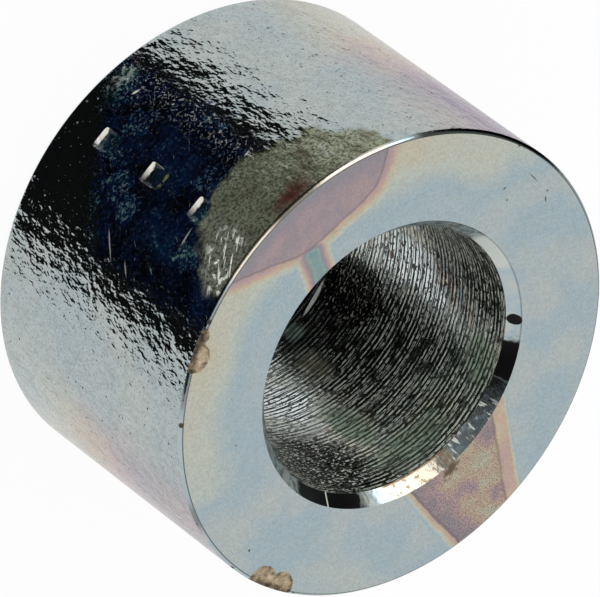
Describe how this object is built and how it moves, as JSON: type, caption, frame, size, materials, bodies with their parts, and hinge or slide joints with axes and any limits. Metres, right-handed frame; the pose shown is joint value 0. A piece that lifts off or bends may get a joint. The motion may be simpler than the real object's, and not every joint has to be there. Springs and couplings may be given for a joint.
{
  "type": "spacer washer",
  "caption": "Thick cylindrical steel spacer washer with a drilled through bore, countersunk bore mouths and broken outer edges, zinc plated.",
  "frame": {"origin": "centre of the back face, on the bore axis, where the spacer stands on a surface", "axes": "+Z along the bore axis from the back face to the front face; -Y faces the line of jaw marks on the side"},
  "size_m": [0.04, 0.04, 0.025],
  "materials": {
    "zinc_plate": "bright zinc plate, blue passivated, with an orange-peel side, drilled bore and chromate stains"
  },
  "bodies": {
    "root": {"spacer": "zinc_plate"}
  },
  "joints": []
}
